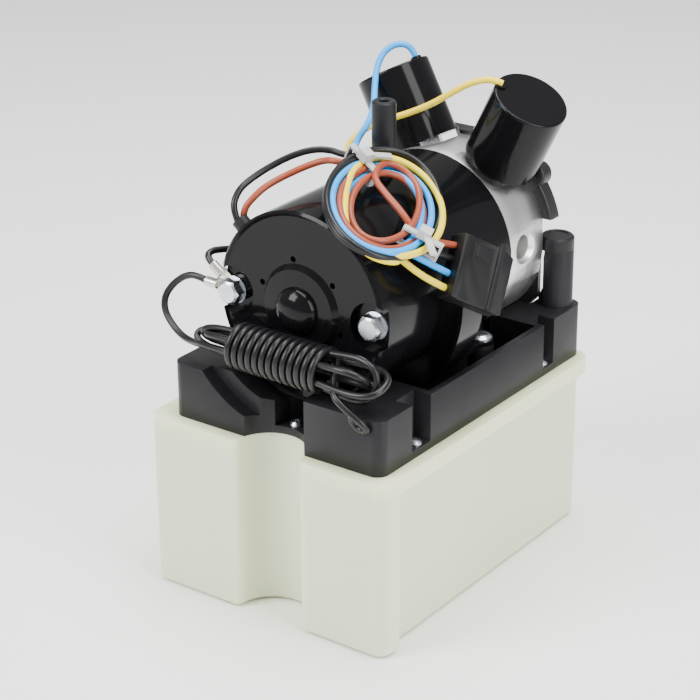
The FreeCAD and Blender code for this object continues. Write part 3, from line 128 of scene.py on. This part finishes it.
def milky_plastic(slot, colour):
    """Blow-moulded polyethylene: light soaks in, and faint streaks run down it."""
    surface = Surface(slot).set(
        Subsurface_Weight=0.55, Subsurface_Scale=0.012, Subsurface_Radius=(1.0, 0.95, 0.6), IOR=1.5)
    tint = (colour[0] * 0.93, colour[1] * 0.98, colour[2] * 0.74)
    surface.mottle(surface.noise(9.0, (1.0, 1.0, 0.15)), shade(tint, 0.95), shade(tint, 1.04))
    surface.wear(surface.noise(60.0), 0.36, 0.46)
    return surface.bump(surface.noise(120.0, (1.0, 1.0, 0.2)), 0.12)


def moulded_plastic(slot, colour):
    """Black or white moulding with a fine spark texture."""
    surface = Surface(slot).set(IOR=1.47, Specular_IOR_Level=0.22)
    surface.mottle(surface.noise(40.0), shade(colour, 0.4), shade(colour, 0.6))
    surface.wear(surface.noise(90.0), 0.34, 0.44)
    return surface.bump(surface.noise(2600.0, detail=2.0), 0.25, 0.00005)


def gloss_paint(slot, colour):
    """Thick glossy paint with a slight orange peel."""
    surface = Surface(slot).set(
        Coat_Weight=0.12, Coat_Roughness=0.04, Specular_IOR_Level=0.1, IOR=1.5)
    surface.mottle(surface.noise(20.0), shade(colour, 0.3), shade(colour, 0.45))
    surface.wear(surface.noise(35.0), 0.12, 0.20)
    return surface.bump(surface.noise(260.0, detail=2.0), 0.10, 0.00004)


def satin_paint(slot, colour):
    """Thinner, duller paint on pressed and sintered parts."""
    surface = Surface(slot).set(IOR=1.48, Specular_IOR_Level=0.3)
    surface.mottle(surface.noise(30.0), shade(colour, 0.4), shade(colour, 0.6))
    surface.wear(surface.noise(70.0), 0.30, 0.42)
    return surface.bump(surface.noise(900.0), 0.15, 0.00004)


def turned_metal(slot, colour):
    """Bright metal turned about the motor's axis, with fine lines round it."""
    surface = Surface(slot).set(Metallic=1.0)
    surface.mottle(surface.noise(24.0, (0.3, 8.0, 0.3)), shade(colour, 0.82), shade(colour, 1.05))
    surface.wear(surface.noise(30.0, (0.2, 30.0, 0.2)), 0.28, 0.42)
    return surface.bump(surface.noise(60.0, (0.1, 40.0, 0.1)), 0.12, 0.00005)


def plain_metal(slot, colour):
    """Plated, ground or drawn metal."""
    surface = Surface(slot).set(Metallic=1.0)
    surface.mottle(surface.noise(180.0), shade(colour, 0.86), shade(colour, 1.08))
    surface.wear(surface.noise(260.0), 0.20, 0.34)
    return surface.bump(surface.noise(700.0), 0.08, 0.00003)


def insulation(slot, colour):
    """Soft vinyl round a wire."""
    surface = Surface(slot).set(IOR=1.5, Specular_IOR_Level=0.3, Coat_Weight=0.1,
                                Coat_Roughness=0.2)
    vinyl = VINYL.get(slot, colour)
    surface.mottle(surface.noise(110.0), shade(vinyl, 0.92), shade(vinyl, 1.06))
    surface.wear(surface.noise(160.0), 0.30, 0.40)
    return surface.bump(surface.noise(500.0), 0.08, 0.00004)


FINISHES = {
    "tank_plastic": milky_plastic,
    "black_paint": gloss_paint,
    "black_plate": satin_paint,
    "ferrite": satin_paint,
    "pump_aluminium": turned_metal,
    "insulation_blue": insulation,
    "insulation_yellow": insulation,
    "insulation_brown": insulation,
    "cable_black": insulation,
    "wire_mixed": insulation,
}
METALS = ("zinc_steel", "tinned", "lamination", "copper", "spring_steel", "machined_steel", "bronze")


def build_materials():
    made = {}
    for slot, colour in COLOURS.items():
        usual = plain_metal if slot in METALS else moulded_plastic
        made[slot] = FINISHES.get(slot, usual)(slot, colour).material
    return made


MATERIALS = build_materials()


def dress(piece, slot):
    piece.data.materials.clear()
    piece.data.materials.append(MATERIALS[slot])


# How far the moulded or pressed edges are eased, in millimetres.
EDGES = {"cover": 1.1, "tank": 0.7, "connector": 0.5, "rear_plate": 0.4, "pump_body": 0.3}
WELD_GAP = 0.00001
EASED_ANGLE = 40.0
SHARP_ANGLE = 32.0


def soften(node, width):
    """A small round on a piece's hard edges, which catches the light."""
    weld = node.modifiers.new("weld", "WELD")
    weld.merge_threshold = WELD_GAP
    bevel = node.modifiers.new("edges", "BEVEL")
    bevel.width = width * MM
    bevel.segments = 3
    bevel.limit_method = "ANGLE"
    bevel.angle_limit = math.radians(EASED_ANGLE)
    bevel.harden_normals = True
    bevel.use_clamp_overlap = True


def dress_frame():
    """Every CAD node gets its slot's material and a soft edge between its smooth faces."""
    for name, node in NODES.items():
        dress(node, SLOT_OF[name])
        node.data.shade_smooth()
        node.data.set_sharp_from_angle(angle=math.radians(SHARP_ANGLE))
    for name, width in EDGES.items():
        soften(NODES[name], width)


# ------------------------------------------------------------------ cords

# Diameters in millimetres, and lengths in metres.
WIRE = 2.6
CABLE = 2.7
WIRE_LENGTHS = {"blue": 0.468, "yellow": 0.372, "brown": 0.351, "black": 0.344}

WIRE_STARTS = {
    "blue": [
        (-21.4, 52.6, 189.8), (-22.6, 52.3, 193.0), (-25.8, 49.9, 195.4), (-29.6, 46.5, 194.2),
        (-31.6, 42.8, 190.4), (-30.7, 38.5, 185.3), (-27.5, 33.0, 179.8), (-22.8, 26.0, 175.1),
        (-17.8, 15.0, 172.3), (-13.8, 3.0, 170.9), (-8.0, -8.0, 170.3),
    ],
    "yellow": [
        (27.2, 41.0, 189.9), (23.9, 39.1, 191.4), (20.0, 37.6, 191.0), (14.6, 36.4, 188.9),
        (7.9, 35.0, 184.5), (-0.7, 34.0, 178.6), (-9.5, 33.0, 174.0), (-17.6, 32.0, 170.4),
        (-24.6, 28.5, 167.6), (-26.6, 20.5, 165.4), (-22.6, 9.0, 165.2), (-16.2, -1.5, 165.8),
        (-8.6, -7.6, 166.2),
    ],
    "brown": [
        (-30.4, -48.2, 148.9), (-30.2, -48.0, 153.4), (-28.2, -44.4, 157.4), (-26.4, -39.0, 160.7),
        (-22.0, -31.0, 164.0), (-16.6, -25.4, 167.0), (-10.6, -23.0, 169.6), (-4.8, -24.0, 170.6),
    ],
    "black": [
        (-30.4, -51.0, 148.9), (-33.0, -51.4, 154.0), (-33.8, -46.6, 159.6), (-32.6, -40.4, 162.6),
        (-29.0, -33.0, 166.2), (-24.0, -26.4, 169.6), (-18.6, -21.0, 171.6), (-12.6, -17.4, 171.8),
        (-6.2, -16.6, 170.6),
    ],
}
WIRE_ENDS = {
    "brown": [(37.4, -29.6, 149.4), (41.4, -26.0, 149.2), (46.0, -16.3, 145.3)],
    "black": [(37.8, -33.0, 148.4), (42.0, -29.0, 146.8), (46.7, -19.6, 140.8)],
    "blue": [(37.8, -37.0, 147.4), (42.4, -33.4, 143.8), (47.4, -22.9, 136.2)],
    "yellow": [
        (35.8, -41.6, 147.0), (40.8, -39.4, 142.6), (44.8, -34.6, 137.6), (48.0, -26.1, 131.7),
    ],
}
POWER_START = [
    (-45.0, -52.6, 122.4), (-49.6, -53.2, 124.0), (-54.9, -54.0, 123.1), (-59.9, -55.6, 119.0),
    (-62.8, -57.6, 113.8), (-61.8, -59.2, 108.6), (-57.2, -60.6, 104.6), (-51.4, -62.2, 101.9),
    (-44.8, -63.8, 101.2),
]
JUMPER = [
    (-43.0, -51.7, 129.7), (-46.0, -51.5, 131.6), (-46.8, -48.2, 133.0), (-45.2, -43.0, 132.4),
    (-43.8, -35.0, 130.4), (-42.4, -23.0, 128.6), (-41.4, -9.0, 127.8), (-41.0, 7.0, 128.0),
    (-40.9, 20.0, 129.4), (-39.9, 31.0, 131.4), (-35.4, 38.2, 133.4),
]

# The oval coil: its centre, its long and short axes and the way its face looks.
COIL_CENTRE = Vector((21.1, -29.9, 159.1))
COIL_LONG = Vector((0.364, -0.908, -0.208))
COIL_SHORT = Vector((-0.815, -0.419, 0.400))
COIL_FACE = Vector((0.451, -0.024, 0.892))
COIL_STRETCH = 9.0
COIL_START = 140.0
STEPS_PER_TURN = 16

# Where each wire lies as it goes round, at even steps: how far out it is and how high.
LAYS = {
    "black": [(21.8, 0.9), (22.4, 1.3), (20.8, -0.9), (25.6, 3.2), (21.8, -1.3), (20.0, -1.0)],
    "blue": [(19.8, 1.0), (20.2, 1.5), (18.4, 1.0), (19.8, -1.3), (16.8, -1.3), (14.0, 1.2),
             (14.6, -1.3), (20.5, 1.4)],
    "brown": [(16.6, 1.0), (17.5, 1.3), (16.2, -0.9), (12.3, 1.3), (12.2, -0.8), (12.6, 1.6),
              (17.0, 2.8)],
    "yellow": [(17.4, -1.0), (17.2, -1.3), (22.9, 1.2), (22.8, 1.4), (14.8, 1.4), (22.4, -1.2)],
}
SWEEPS = {"black": 535.0, "blue": 895.0, "brown": 705.0, "yellow": 535.0}

# The brown wire comes back over the hole: places along the long and the short axis.
CROSSING = {"brown": [(-11.0, 8.5), (-4.0, 1.0), (3.0, -8.0)]}
CROSSING_LIFT = 3.2


def between(keys, share):
    """The keyed pair at a share of the way along, eased from one to the next."""
    reach = share * (len(keys) - 1)
    index = min(int(reach), len(keys) - 2)
    part = reach - index
    part = part * part * (3.0 - 2.0 * part)
    return [a + (b - a) * part for a, b in zip(keys[index], keys[index + 1])]


def coil_points(word):
    """The wire's turns in the harness coil, from where it joins to where it leaves."""
    sweep = SWEEPS[word]
    count = round(sweep / 360.0 * STEPS_PER_TURN)
    points = []
    for step in range(count + 1):
        share = step / count
        out, lift = between(LAYS[word], share)
        angle = math.radians(COIL_START - sweep * share)
        place = COIL_CENTRE + COIL_LONG * ((out + COIL_STRETCH) * math.cos(angle))
        points.append(place + COIL_SHORT * (out * math.sin(angle)) + COIL_FACE * lift)
    for along, across in CROSSING.get(word, []):
        points.append(COIL_CENTRE + COIL_LONG * along + COIL_SHORT * across
                      + COIL_FACE * CROSSING_LIFT)
    return points


# The hank: long loops along X, and the wraps round their middle.
HANK_CENTRE = Vector((0.0, -65.5, 106.5))
HANK_CORE = 4.7
LOOPS = 3
FIRST_TURN = 200.0
TURN_PER_LOOP = 60.0
FAR_END = 46.5
FAR_STEP = 3.2
NEAR_END = -41.0
NEAR_STEP = 3.0
FLARE = (24.0, 7.2)
BULGE = (7.0, 8.2)
FAR_RADIUS = 4.6
NEAR_RADIUS = 2.6
NEAR_LEAD = 9.0
MIDDLE = (-12.0, 8.0)
HANK_WRAP = 8.1
WRAPS = 13
WRAP_END = 21.0
WRAP_START = 20.0
HANK_TAIL = [
    (29.0, -74.6, 103.0), (37.0, -74.8, 98.0), (43.0, -73.6, 94.0), (44.0, -71.6, 90.4),
    (39.0, -70.6, 89.6), (35.6, -71.6, 93.4), (37.6, -73.4, 98.6),
]


def hank_point(x, radius, turn):
    angle = math.radians(turn)
    return HANK_CENTRE + Vector((x, radius * math.cos(angle), radius * math.sin(angle)))


def loop_points(loop):
    """One long loop: out along one side of the core and back along the other."""
    turn = FIRST_TURN + TURN_PER_LOOP * loop
    back = turn + 180.0
    far = FAR_END - FAR_STEP * loop
    near = NEAR_END + NEAR_STEP * loop
    bulge, bulge_radius = BULGE
    outward = (near + NEAR_LEAD, *MIDDLE)
    points = [hank_point(x, HANK_CORE, turn) for x in outward]
    points += [hank_point(*FLARE, turn), hank_point(far - bulge, bulge_radius, turn)]
    points += [hank_point(far, FAR_RADIUS, turn), hank_point(far, FAR_RADIUS, back)]
    points += [hank_point(far - bulge, bulge_radius, back), hank_point(*FLARE, back)]
    points += [hank_point(x, HANK_CORE, back) for x in reversed(outward)]
    points += [hank_point(near, NEAR_RADIUS, back), hank_point(near, NEAR_RADIUS, turn + 60.0)]
    return points


def hank_points():
    """The long loops folded end to end, then the wraps round their middle and the tail."""
    points = []
    for loop in range(LOOPS):
        points += loop_points(loop)
    count = WRAPS * STEPS_PER_TURN
    for step in range(count + 1):
        share = step / count
        along = WRAP_END * (2.0 * share - 1.0)
        points.append(hank_point(along, HANK_WRAP, WRAP_START - 360.0 * WRAPS * share))
    return points + [Vector(place) for place in HANK_TAIL]


def cord_curve(name, points, diameter):
    """A smooth round cord through its route, as one open spline."""
    data = bpy.data.curves.new(name, "CURVE")
    data.dimensions = "3D"
    data.bevel_depth = diameter * MM / 2
    data.bevel_resolution = 5
    data.resolution_u = 8
    data.use_fill_caps = True
    spline = data.splines.new("NURBS")
    spline.points.add(len(points) - 1)
    for control, point in zip(spline.points, points):
        control.co = (*(Vector(point) * MM), 1.0)
    spline.order_u = 3
    spline.use_endpoint_u = True
    piece = bpy.data.objects.new(name, data)
    bpy.context.scene.collection.objects.link(piece)
    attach(piece, ROOT)
    return piece


def build_wires():
    """Four wires, each from where it leaves the unit, round the coil and into the connector."""
    for word, length in WIRE_LENGTHS.items():
        points = WIRE_STARTS[word] + coil_points(word) + WIRE_ENDS[word]
        piece = cord_curve(f"harness_{word}", points, WIRE)
        dress(piece, "cable_black" if word == "black" else f"insulation_{word}")
        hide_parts(f"wire_{word}", "harness_coil", "harness_leads")


def build_power_cable():
    piece = cord_curve("power_lead", POWER_START + hank_points(), CABLE)
    dress(piece, "cable_black")
    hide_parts("power_cable", "power_hank")


def build_jumper():
    piece = cord_curve("jumper_lead", JUMPER, CABLE)
    dress(piece, "cable_black")
    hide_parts("jumper_wire")


# ------------------------------------------------------------------ studio


FLOOR_SIZE = 8.0
FLOOR_DROP = 0.0004
FLOOR_GREY = 0.92
WORLD_STRENGTH = 0.55
LAMP_TARGET = Vector((0.0, 0.0, 0.10))
LIGHTS = (
    ("key", (-0.45, -0.80, 0.80), (0.5, 0.7), 17.0),
    ("fill", (1.00, -0.15, 0.60), (0.5, 0.9), 13.0),
    ("top", (0.05, 0.15, 1.10), (0.9, 0.6), 20.0),
)


def build_floor():
    bpy.ops.mesh.primitive_plane_add(size=FLOOR_SIZE, location=(0.0, 0.0, -FLOOR_DROP))
    floor = bpy.context.object
    floor.name = "floor"
    grey = (FLOOR_GREY, FLOOR_GREY, FLOOR_GREY, 1.0)
    surface = Surface("pale_floor").set(Roughness=0.7, Base_Color=grey)
    floor.data.materials.append(surface.material)


def build_light(name, place, size, power):
    light = bpy.data.lights.new(name, "AREA")
    light.shape = "RECTANGLE"
    light.size, light.size_y = size
    light.energy = power
    lamp = bpy.data.objects.new(name, light)
    lamp.location = place
    aim = LAMP_TARGET - Vector(place)
    lamp.rotation_euler = aim.to_track_quat("-Z", "Y").to_euler()
    bpy.context.scene.collection.objects.link(lamp)


def build_studio():
    world = bpy.data.worlds.new("studio")
    world.use_nodes = True
    sky = world.node_tree.nodes["Background"].inputs
    sky["Color"].default_value = (1.0, 1.0, 1.0, 1.0)
    sky["Strength"].default_value = WORLD_STRENGTH
    bpy.context.scene.world = world
    for name, place, size, power in LIGHTS:
        build_light(name, place, size, power)


CAMERA_PLACE = (0.466577, -0.660434, 0.440467)
CAMERA_AZIMUTH = 36.1757
CAMERA_ELEVATION = 23.6609
CAMERA_ROLL = -0.4181
CAMERA_LENS = 114.78
CAMERA_SENSOR = 36.0


def build_camera():
    data = bpy.data.cameras.new("camera")
    data.lens = CAMERA_LENS
    data.sensor_width = CAMERA_SENSOR
    camera = bpy.data.objects.new("camera", data)
    bpy.context.scene.collection.objects.link(camera)
    turn = math.radians(CAMERA_AZIMUTH)
    rise = math.radians(CAMERA_ELEVATION)
    roll = math.radians(CAMERA_ROLL)
    back = Vector((math.sin(turn) * math.cos(rise), -math.cos(turn) * math.cos(rise), math.sin(rise)))
    level = Vector((math.cos(turn), math.sin(turn), 0.0))
    above = back.cross(level)
    right = level * math.cos(roll) + above * math.sin(roll)
    up = above * math.cos(roll) - level * math.sin(roll)
    axes = Matrix((right, up, back)).transposed().to_4x4()
    camera.matrix_world = Matrix.Translation(CAMERA_PLACE) @ axes
    bpy.context.scene.camera = camera


dress_frame()
build_wires()
build_power_cable()
build_jumper()
build_floor()
build_studio()
build_camera()
